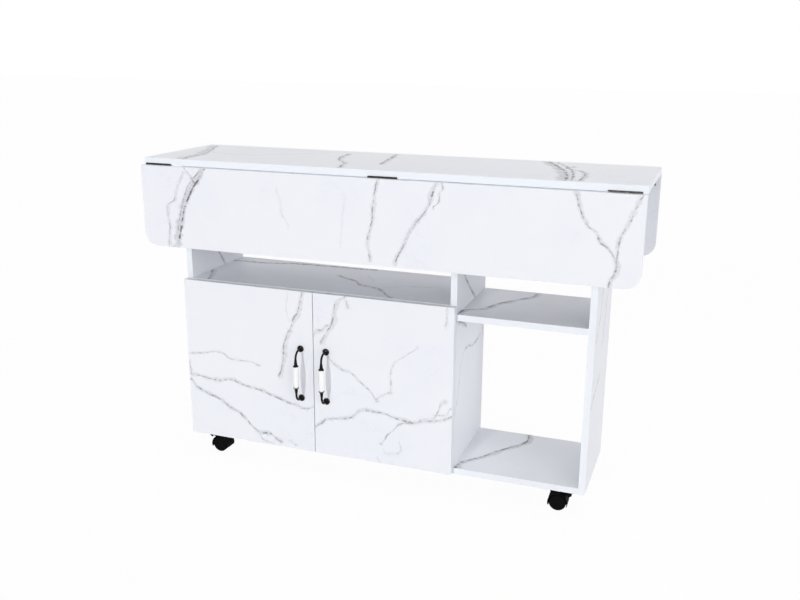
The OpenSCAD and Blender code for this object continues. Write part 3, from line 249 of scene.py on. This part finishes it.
class Board:
    """One board's laminate. Its veins are drawn in millimetres on the board's own face."""

    # The axes that run across the face, up or along it, and out of it
    PLANES = {"front": (0, 2, 1), "level": (0, 1, 2), "side": (1, 2, 0)}

    def __init__(self, name, plane, seed):
        self.material, self.net, self.shader = new_material(name)
        net = self.net
        place = net.add("ShaderNodeTexCoord").outputs
        self.place = place["Object"]
        self.seed = seed
        self.seeded = net.shift(self.place, seed)
        first, second, outward = self.PLANES[plane]
        axes = net.xyz(self.place)
        rise = net.math("SUBTRACT", axes[second], UNDERSIDE) if second == 2 else axes[second]
        self.flat = (self.stray(axes[first], seed_shift=3.1), self.stray(rise, seed_shift=8.7))
        self.grain = net.noise(self.seeded, 120.0, detail=4.0, roughness=0.65)
        facing = net.math("ABSOLUTE", net.xyz(place["Normal"])[outward])
        self.face = net.ramp(facing, 0.72, 0.9)
        self.dark = 0.0

    def stray(self, axis, seed_shift):
        """An axis of the face, shaken a little so that no vein is a clean curve."""
        net = self.net
        place = net.shift(self.seeded, seed_shift)
        broad = net.math("MULTIPLY_ADD", net.noise(place, 22.0), BROAD_STRAY, -BROAD_STRAY / 2)
        fine = net.noise(place, 140.0, detail=3.0, roughness=0.7)
        fine = net.math("MULTIPLY_ADD", fine, FINE_STRAY, -FINE_STRAY / 2)
        return net.math("ADD", axis, net.math("ADD", broad, fine))

    def centre_line(self, track, along):
        """Where a vein's middle lies, from the place along it, on a curve through its points."""
        net = self.net
        start, end = track[0][0], track[-1][0]
        low = min(offset for place, offset in track) - CURVE_MARGIN
        high = max(offset for place, offset in track) + CURVE_MARGIN
        node = net.add("ShaderNodeFloatCurve")
        curve = node.mapping.curves[0]
        while len(curve.points) < len(track):
            curve.points.new(0.5, 0.5)
        for point, (place, offset) in zip(curve.points, track):
            point.location = ((place - start) / (end - start), (offset - low) / (high - low))
            point.handle_type = "AUTO_CLAMPED"
        node.mapping.update()
        net.put(node.inputs["Value"], net.ramp(along, start, end, smooth=False))
        return net.math("MULTIPLY_ADD", node.outputs[0], high - low, low)

    def vein(self, points, core, strength, halo=0):
        """A vein through points on the face. Its core and halo are breadths in millimetres, and its
        strength is its share of the vein colour. A positive halo lies on the side where the axis
        across the vein grows, and a negative one on the other side."""
        net = self.net
        spans = [max(axis) - min(axis) for axis in zip(*points)]
        along_axis = 0 if spans[0] > spans[1] else 1
        track = sorted((point[along_axis] * MM, point[1 - along_axis] * MM) for point in points)
        along = self.flat[along_axis]
        across = net.math("SUBTRACT", self.flat[1 - along_axis], self.centre_line(track, along))
        if halo < 0:
            across = net.math("MULTIPLY", across, -1.0)
        self.seed += SEED_STEP
        group = net.add("ShaderNodeGroup", node_tree=VEIN_GROUP)
        settings = {
            "Across": across,
            "Along": along,
            "Start": track[0][0],
            "End": track[-1][0],
            "Core": core * CORE_BREADTH * MM,
            "Halo": max(abs(halo) * HALO_BREADTH, LEAST_HALO) * MM,
            "Strength": strength,
            "Fade": END_FADE,
            "Seed": self.seed,
            "Grain": self.grain,
        }
        for name, value in settings.items():
            net.put(group.inputs[name], value)
        self.dark = net.math("MAXIMUM", self.dark, group.outputs["Dark"])

    def finish(self):
        """Joins the clouded white, the veins and the plain edge band."""
        net = self.net
        cloud = net.noise(self.seeded, 5.0, detail=3.0, roughness=0.55)
        body = net.mix(net.ramp(cloud, 0.42, 0.72), LAMINATE, LAMINATE_COOL)
        # Wisps: faint hairlines, only inside the cooler clouds
        hairline = net.math("SUBTRACT", net.noise(self.seeded, 9.0, detail=5.0, roughness=0.62), 0.5)
        hairline = net.ramp(net.math("ABSOLUTE", hairline), 0.0, 0.012, 1.0, 0.0)
        wisps = net.math("MULTIPLY", hairline, net.ramp(cloud, 0.5, 0.7, 0.0, 0.07))
        dark = net.math("MAXIMUM", self.dark, wisps, clamp=True)
        veined = net.mix(dark, body, VEIN)
        net.put(self.shader["Base Color"], net.mix(self.face, EDGE_BAND, veined))
        net.put(self.shader["Roughness"], net.ramp(self.grain, 0.3, 0.7, 0.36, 0.44))
        net.put(self.shader["Specular IOR Level"], 0.4)
        add_bump(net, self.shader, net.noise(self.place, 900.0), strength=0.04, distance=0.2 * MM)
        return self.material


def front_leaf_laminate():
    board = Board("front_leaf_laminate", "front", seed=1.0)
    board.vein([(-420, 706), (-446, 673), (-466, 642), (-483, 609), (-490, 581), (-500, 538),
                (-507, 507)], core=2.6, halo=-17, strength=0.9)
    board.vein([(-434, 702), (-464, 671), (-478, 644), (-486, 626), (-497, 589), (-506, 551)],
               core=1.7, strength=0.6)
    board.vein([(-478, 702), (-463, 685), (-452, 671)], core=1.8, strength=0.6)
    board.vein([(-482, 691), (-500, 658), (-512, 626), (-532, 604), (-532, 586), (-529, 549),
                (-532, 514)], core=1.7, halo=8, strength=0.42)
    board.vein([(-232, 664), (-226, 643), (-222, 615), (-205, 586)], core=1.5, halo=6, strength=0.16)
    board.vein([(-60, 665), (-65, 619), (-73, 549)], core=1.5, strength=0.1)
    board.vein([(18, 706), (12, 676), (9, 648), (7, 621), (2, 596), (-5, 556), (0, 521)],
               core=1.8, halo=7, strength=0.5)
    board.vein([(157, 707), (144, 678), (140, 658), (112, 617), (95, 586), (72, 541), (62, 519)],
               core=2.0, halo=-9, strength=0.6)
    board.vein([(168, 705), (171, 694), (162, 681), (162, 668), (149, 652)], core=1.6, strength=0.4)
    board.vein([(456, 703), (468, 667), (475, 650), (489, 632), (503, 623), (512, 603), (529, 589),
                (538, 578), (549, 558), (547, 535), (540, 522), (536, 508)],
               core=2.0, halo=8, strength=0.55)
    board.vein([(592, 705), (582, 681), (569, 647), (555, 620), (551, 603), (549, 579), (547, 564)],
               core=1.8, halo=-7, strength=0.5)
    return board.finish()


def left_door_laminate():
    board = Board("left_door_laminate", "front", seed=2.0)
    board.vein([(-186, 421), (-192, 398), (-198, 372), (-210, 351), (-218, 332), (-236, 286),
                (-240, 265), (-243, 238), (-249, 216), (-256, 198)], core=2.0, halo=11, strength=0.5)
    board.vein([(-227, 407), (-230, 381), (-223, 344)], core=1.5, strength=0.15)
    board.vein([(-514, 223), (-481, 226), (-460, 231), (-442, 237), (-416, 235), (-388, 222),
                (-342, 222), (-314, 216)], core=1.6, halo=5, strength=0.3)
    board.vein([(-514, 198), (-508, 168)], core=2.0, strength=0.4)
    board.vein([(-508, 167), (-485, 165), (-458, 162), (-426, 160), (-396, 166), (-373, 161),
                (-351, 155), (-325, 151), (-302, 149), (-269, 139), (-241, 130), (-224, 124),
                (-205, 122), (-191, 116), (-161, 124)], core=2.0, halo=7, strength=0.5)
    board.vein([(-509, 152), (-495, 134), (-478, 126), (-458, 116), (-440, 112), (-417, 101),
                (-397, 88), (-371, 78), (-352, 64), (-329, 42), (-315, 34), (-287, 33), (-270, 24),
                (-256, 18)], core=2.4, halo=8, strength=0.6)
    board.vein([(-315, 31), (-310, 18), (-282, 8)], core=1.6, halo=6, strength=0.35)
    board.vein([(-227, 23), (-216, 14)], core=1.6, halo=6, strength=0.3)
    return board.finish()


def right_door_laminate():
    board = Board("right_door_laminate", "front", seed=3.0)
    board.vein([(-74, 418), (-87, 411), (-98, 400), (-103, 387), (-106, 370), (-112, 344), (-122, 328),
                (-133, 311), (-139, 298)], core=2.0, halo=12, strength=0.5)
    board.vein([(-112, 344), (-125, 340), (-136, 329), (-149, 325), (-160, 313)],
               core=2.0, halo=-10, strength=0.45)
    board.vein([(-70, 408), (-66, 396)], core=3.0, strength=0.3)
    board.vein([(-128, 276), (-116, 255), (-87, 235), (-58, 226), (-42, 213), (-22, 198), (-9, 187),
                (4, 166)], core=1.9, halo=6, strength=0.42)
    board.vein([(7, 171), (17, 180), (40, 194)], core=1.6, strength=0.32)
    board.vein([(41, 194), (42, 210), (40, 237), (45, 255), (55, 272), (70, 284), (97, 304),
                (107, 311)], core=1.6, strength=0.28)
    board.vein([(-159, 72), (-140, 86), (-121, 100), (-96, 103), (-64, 111), (-51, 121), (-40, 133),
                (-12, 137), (27, 134), (45, 130), (66, 126), (86, 124), (101, 124), (121, 132),
                (141, 136)], core=2.0, halo=7, strength=0.5)
    board.vein([(121, 132), (141, 138), (151, 147), (161, 166), (168, 182), (180, 189)],
               core=2.0, halo=-8, strength=0.5)
    board.vein([(141, 135), (166, 141), (194, 154)], core=1.9, strength=0.5)
    board.vein([(156, 152), (183, 159), (190, 173)], core=1.6, strength=0.35)
    board.vein([(96, 123), (61, 112), (51, 97), (28, 73), (20, 56)], core=1.8, halo=5, strength=0.5)
    board.vein([(21, 54), (25, 35), (41, 33), (61, 37)], core=1.6, strength=0.2)
    board.vein([(61, 37), (69, 48), (64, 65)], core=1.6, strength=0.2)
    board.vein([(9, 14), (15, 7)], core=1.6, strength=0.3)
    board.vein([(177, 413), (178, 389), (174, 372)], core=1.6, halo=6, strength=0.25)
    return board.finish()


def top_laminate():
    board = Board("top_laminate", "level", seed=4.0)
    board.vein([(-566, 131), (-535, 50), (-512, -9), (-499, -61), (-500, -106), (-493, -151)],
               core=3.0, halo=-26, strength=0.9)
    board.vein([(-540, 20), (-420, -12), (-300, 45), (-215, 118)], core=2.4, strength=0.2)
    board.vein([(-166, 105), (-152, 10), (-108, -64), (-86, -139)], core=2.4, halo=12, strength=0.8)
    board.vein([(-50, 139), (-36, 49), (-21, -50)], core=2.4, halo=10, strength=0.9)
    board.vein([(338, 150), (381, 55), (416, -51), (429, -138)], core=3.4, halo=-22, strength=1.0)
    board.vein([(362, 140), (400, 62), (428, -40), (440, -138)], core=2.4, strength=0.8)
    board.vein([(398, 62), (409, 78), (435, 16), (456, -54), (457, -136)],
               core=2.8, halo=10, strength=0.85)
    return board.finish()


def cabinet_top_laminate():
    board = Board("cabinet_top_laminate", "level", seed=5.0)
    board.vein([(-499, 80), (-475, 86), (-417, 87), (-314, 110), (-144, 119), (-99, 122)],
               core=2.4, halo=-9, strength=1.0)
    board.vein([(-496, -34), (-470, -85), (-459, -115)], core=3.0, halo=12, strength=0.6)
    board.vein([(-162, 30), (-131, 9), (-107, -3), (-80, -34), (-50, -43), (-25, -53), (7, -89),
                (28, -112)], core=2.6, halo=10, strength=0.8)
    board.vein([(-95, 56), (-66, 24)], core=1.8, strength=0.25)
    board.vein([(-12, -38), (26, -8), (90, 6)], core=1.8, strength=0.3)
    return board.finish()


def bay_shelf_laminate():
    board = Board("bay_shelf_laminate", "level", seed=6.0)
    board.vein([(196, -118), (199, -82), (237, -58), (257, -13), (283, 28), (308, 62), (329, 94),
                (331, 122)], core=3.0, halo=14, strength=0.85)
    return board.finish()


def bay_bottom_laminate():
    board = Board("bay_bottom_laminate", "level", seed=7.0)
    board.vein([(199, -117), (204, -92), (232, -55), (251, -33), (268, -2), (287, 24), (307, 51),
                (327, 77), (332, 99), (325, 128)], core=3.0, halo=14, strength=0.85)
    return board.finish()


def cabinet_bottom_laminate():
    board = Board("cabinet_bottom_laminate", "level", seed=8.0)
    board.vein([(-470, -115), (-440, -40), (-395, 20), (-380, 90), (-352, 128)],
               core=2.6, halo=12, strength=0.5)
    board.vein([(-60, 120), (-20, 50), (40, 10), (75, -60), (90, -118)],
               core=2.4, halo=-10, strength=0.45)
    return board.finish()


def left_panel_laminate():
    board = Board("left_panel_laminate", "side", seed=9.0)
    board.vein([(-60, 706), (-38, 626), (-24, 546), (-3, 476), (18, 444), (34, 422), (60, 356),
                (74, 266), (110, 186), (131, 151)], core=2.2, halo=9, strength=0.5)
    board.vein([(-4, 476), (20, 521), (62, 576), (88, 666), (95, 706)], core=1.8, strength=0.3)
    board.vein([(-122, 186), (-80, 151), (-30, 126), (10, 66), (52, 0)],
               core=2.0, halo=-8, strength=0.4)
    return board.finish()


def divider_laminate():
    board = Board("divider_laminate", "side", seed=10.0)
    board.vein([(-120, 536), (-88, 502), (-60, 475), (-32, 451), (-4, 427), (34, 402)],
               core=2.4, halo=10, strength=0.9)
    board.vein([(-122, 384), (-86, 372), (-39, 347)], core=2.6, halo=8, strength=0.75)
    board.vein([(111, 308), (120, 288), (125, 275)], core=1.8, strength=0.35)
    board.vein([(94, 287), (66, 281), (39, 277), (-8, 288), (-43, 290)],
               core=1.9, halo=6, strength=0.45)
    board.vein([(-43, 290), (-78, 254), (-95, 186), (-120, 150)], core=1.7, strength=0.25)
    board.vein([(131, 626), (92, 591), (60, 576)], core=1.8, halo=6, strength=0.3)
    return board.finish()


def right_panel_laminate():
    board = Board("right_panel_laminate", "side", seed=11.0)
    board.vein([(18, 328), (9, 310), (6, 254), (-25, 241), (-59, 229), (-110, 209)],
               core=1.8, halo=6, strength=0.55)
    board.vein([(131, 496), (96, 456), (60, 441), (28, 376), (18, 328)],
               core=1.8, halo=6, strength=0.55)
    board.vein([(-122, 626), (-70, 576), (-40, 496), (-44, 436), (-90, 366)],
               core=1.8, halo=-8, strength=0.5)
    return board.finish()


def rear_leaf_laminate():
    board = Board("rear_leaf_laminate", "front", seed=12.0)
    board.vein([(-330, 706), (-352, 671), (-361, 636), (-392, 597), (-402, 546), (-431, 507)],
               core=2.4, halo=-14, strength=0.7)
    board.vein([(-352, 671), (-330, 630), (-338, 576), (-322, 536)], core=1.7, strength=0.35)
    board.vein([(70, 706), (88, 678), (84, 641), (120, 596), (131, 548), (126, 507)],
               core=2.2, halo=10, strength=0.6)
    board.vein([(120, 596), (172, 572), (214, 576), (262, 547)], core=1.7, halo=6, strength=0.35)
    board.vein([(506, 706), (480, 666), (478, 626), (446, 576), (452, 536), (430, 507)],
               core=2.2, halo=-10, strength=0.55)
    return board.finish()


def back_panel_laminate():
    board = Board("back_panel_laminate", "front", seed=13.0)
    board.vein([(-496, 336), (-420, 308), (-352, 266), (-300, 254), (-236, 196), (-180, 182),
                (-96, 116), (-20, 92), (60, 32)], core=2.4, halo=10, strength=0.6)
    board.vein([(-236, 196), (-210, 256), (-160, 308), (-142, 398)], core=2.0, halo=-8, strength=0.45)
    board.vein([(20, 404), (44, 346), (38, 286), (90, 226), (176, 198)],
               core=2.2, halo=10, strength=0.5)
    return board.finish()


for node, make in (
    ("front_leaf", front_leaf_laminate),
    ("left_door", left_door_laminate),
    ("right_door", right_door_laminate),
    ("top_board", top_laminate),
    ("cabinet_top_board", cabinet_top_laminate),
    ("bay_shelf", bay_shelf_laminate),
    ("bay_bottom_board", bay_bottom_laminate),
    ("cabinet_bottom_board", cabinet_bottom_laminate),
    ("left_side_panel", left_panel_laminate),
    ("centre_divider", divider_laminate),
    ("right_side_panel", right_panel_laminate),
    ("rear_leaf", rear_leaf_laminate),
    ("cabinet_back_panel", back_panel_laminate),
):
    dress(node, make())


# ---------- metal, plastic, ceramic, wood and rubber ----------

def bronze():
    """Near-black bronze, lighter and browner on its high edges, partly as rubbed wear and partly as a
    painted highlight.
    """
    material, net, shader = new_material("dark_bronze")
    place = object_place(net)
    # The paler brown on the high edges is partly rubbed wear and partly a painted highlight
    edges = net.ramp(net.add("ShaderNodeNewGeometry").outputs["Pointiness"], 0.51, 0.58)
    patches = net.ramp(net.noise(place, 160.0, detail=4.0, roughness=0.6), 0.45, 0.7)
    wear_and_highlight = net.math("MULTIPLY", edges, net.math("ADD", 0.3, net.math("MULTIPLY", patches, 0.5)))
    net.put(shader["Base Color"], net.mix(wear_and_highlight, (0.007, 0.0065, 0.007, 1), (0.10, 0.092, 0.090, 1)))
    net.put(shader["Roughness"], net.ramp(net.noise(place, 420.0, detail=3.0), 0.3, 0.7, 0.2, 0.32))
    net.put(shader["Metallic"], 0.85)
    add_bump(net, shader, net.noise(place, 700.0, detail=3.0), strength=0.1, distance=0.2 * MM)
    return material


def steel():
    """Zinc plate, with a spangle of paler and darker patches."""
    material, net, shader = new_material("zinc_plated_steel")
    place = object_place(net)
    spangle = net.noise(place, 260.0, detail=3.0)
    net.put(shader["Base Color"], net.mix(spangle, (0.56, 0.57, 0.59, 1), (0.68, 0.68, 0.69, 1)))
    smear = net.noise(place, 340.0, detail=4.0, roughness=0.6)
    net.put(shader["Roughness"], net.ramp(smear, 0.3, 0.7, 0.24, 0.42))
    net.put(shader["Metallic"], 1.0)
    add_bump(net, shader, net.noise(place, 900.0), strength=0.08, distance=0.2 * MM)
    return material


def ceramic():
    """White ceramic under a clear glaze that ripples slightly."""
    material, net, shader = new_material("glazed_ceramic")
    place = object_place(net)
    clay = net.noise(place, 60.0)
    net.put(shader["Base Color"], net.mix(clay, (0.90, 0.90, 0.90, 1), (0.93, 0.93, 0.92, 1)))
    net.put(shader["Roughness"], 0.12)
    net.put(shader["Coat Weight"], 0.6)
    net.put(shader["Coat Roughness"], 0.03)
    add_bump(net, shader, net.noise(place, 90.0, detail=1.0), strength=0.05, distance=0.3 * MM)
    return material


def black_plastic():
    """Black nylon with the fine grain of a mould."""
    material, net, shader = new_material("black_nylon")
    place = object_place(net)
    cloud = net.noise(place, 190.0, detail=4.0)
    net.put(shader["Base Color"], net.mix(cloud, (0.002, 0.002, 0.002, 1), (0.006, 0.006, 0.007, 1)))
    net.put(shader["Roughness"], net.ramp(net.noise(place, 500.0, detail=3.0), 0.3, 0.7, 0.5, 0.64))
    net.put(shader["Specular IOR Level"], 0.035)
    add_bump(net, shader, net.noise(place, 1500.0), strength=0.12, distance=0.2 * MM)
    return material


def white_plastic():
    """White plastic with the fine grain of a mould."""
    material, net, shader = new_material("white_plastic")
    place = object_place(net)
    cloud = net.noise(place, 80.0, detail=3.0)
    net.put(shader["Base Color"], net.mix(cloud, (0.80, 0.80, 0.79, 1), (0.85, 0.85, 0.84, 1)))
    net.put(shader["Roughness"], 0.45)
    add_bump(net, shader, net.noise(place, 1200.0), strength=0.1, distance=0.2 * MM)
    return material


def clear_rubber():
    """Cloudy clear rubber that lets a third of the light through."""
    material, net, shader = new_material("clear_rubber")
    cloud = net.noise(object_place(net), 300.0)
    net.put(shader["Base Color"], net.mix(cloud, (0.72, 0.74, 0.75, 1), (0.80, 0.81, 0.81, 1)))
    net.put(shader["Roughness"], 0.3)
    net.put(shader["Transmission Weight"], 0.35)
    return material


def beech():
    """Pale beech, for the dowels."""
    material, net, shader = new_material("beech")
    grain = net.noise(object_place(net), 800.0, detail=4.0, roughness=0.7)
    net.put(shader["Base Color"], net.mix(grain, (0.50, 0.33, 0.18, 1), (0.68, 0.49, 0.30, 1)))
    net.put(shader["Roughness"], 0.6)
    add_bump(net, shader, grain, strength=0.2, distance=0.3 * MM)
    return material


SLOT_MATERIALS = {
    "bronze": bronze(),
    "steel": steel(),
    "ceramic": ceramic(),
    "caster_plastic": black_plastic(),
    "catch_plastic": white_plastic(),
    "clear_rubber": clear_rubber(),
    "beech": beech(),
}
# Pieces in any other material are the laminate boards
boards = []
for subpart in frame["record"]["subparts"]:
    if subpart["material_slot"] in SLOT_MATERIALS:
        dress(subpart["node"], SLOT_MATERIALS[subpart["material_slot"]])
    else:
        boards.append(subpart["node"])


# ---------- softened board edges ----------

EDGE_ROUNDING = 0.5 * MM
# The least angle, in degrees, of an edge that is rounded
EDGE_ANGLE = 60

for name in boards:
    bevel = nodes[name].modifiers.new("edge", "BEVEL")
    bevel.width = EDGE_ROUNDING
    bevel.segments = 2
    bevel.limit_method = "ANGLE"
    bevel.angle_limit = math.radians(EDGE_ANGLE)
    bevel.use_clamp_overlap = True


# ---------- floor, backdrop and light ----------

FLOOR_HALF = 20.0
FLOOR = (0.92, 0.92, 0.93, 1)
# Share of plain white in the floor as it is seen; the rest is the lit floor with its shadow
FLOOR_WHITENESS = 0.96
WHITE = (1, 1, 1, 1)
# What the surroundings shine on the object
AMBIENT = (0.25, 0.25, 0.252, 1)


def floor_material():
    """White to the camera and to gloss, with the object's own soft shadow kept."""
    material, net, shader = new_material("floor")
    net.put(shader["Base Color"], FLOOR)
    net.put(shader["Roughness"], 0.9)
    net.put(shader["Specular IOR Level"], 0.0)
    white = net.add("ShaderNodeEmission")
    net.put(white.inputs["Color"], WHITE)
    net.put(white.inputs["Strength"], 1.0)
    blend = net.add("ShaderNodeMixShader")
    net.put(blend.inputs[0], net.math("MULTIPLY", seen_directly(net), FLOOR_WHITENESS))
    net.put(blend.inputs[1], material.node_tree.nodes["Principled BSDF"].outputs[0])
    net.put(blend.inputs[2], white.outputs[0])
    net.put(material.node_tree.nodes["Material Output"].inputs["Surface"], blend.outputs[0])
    return material


floor_mesh = bpy.data.meshes.new("floor")
floor_mesh.from_pydata(
    [(-FLOOR_HALF, -FLOOR_HALF, 0), (FLOOR_HALF, -FLOOR_HALF, 0),
     (FLOOR_HALF, FLOOR_HALF, 0), (-FLOOR_HALF, FLOOR_HALF, 0)],
    [], [(0, 1, 2, 3)],
)
floor = bpy.data.objects.new("floor", floor_mesh)
floor.data.materials.append(floor_material())
bpy.context.scene.collection.objects.link(floor)

world = bpy.data.worlds.new("studio")
world.use_nodes = True
bpy.context.scene.world = world
world_net = Net(world.node_tree)
background = world.node_tree.nodes["Background"]
world_net.put(background.inputs["Color"], world_net.mix(seen_directly(world_net), AMBIENT, WHITE))


def sun(name, direction, strength, angle, gloss=True):
    """A distant lamp that shines from a direction, as wide as its angle in degrees. Without gloss it
    makes no reflection of its own."""
    data = bpy.data.lights.new(name, "SUN")
    data.energy = strength
    data.angle = math.radians(angle)
    lamp = bpy.data.objects.new(name, data)
    x, y, z = direction
    lamp.rotation_euler = (math.atan2(math.hypot(x, y), z), 0, math.atan2(x, -y))
    lamp.visible_glossy = gloss
    bpy.context.scene.collection.objects.link(lamp)


sun("key", direction=(-0.17, -1.0, 0.28), strength=1.06, angle=4)
sun("front_right", direction=(1.0, -1.0, 0.15), strength=1.16, angle=40)
sun("right", direction=(1.0, -0.45, 0.20), strength=0.30, angle=60)
sun("top", direction=(0.1, -0.1, 1.0), strength=0.72, angle=40)
sun("rear", direction=(0.2, 1.0, 0.12), strength=2.4, angle=60, gloss=False)
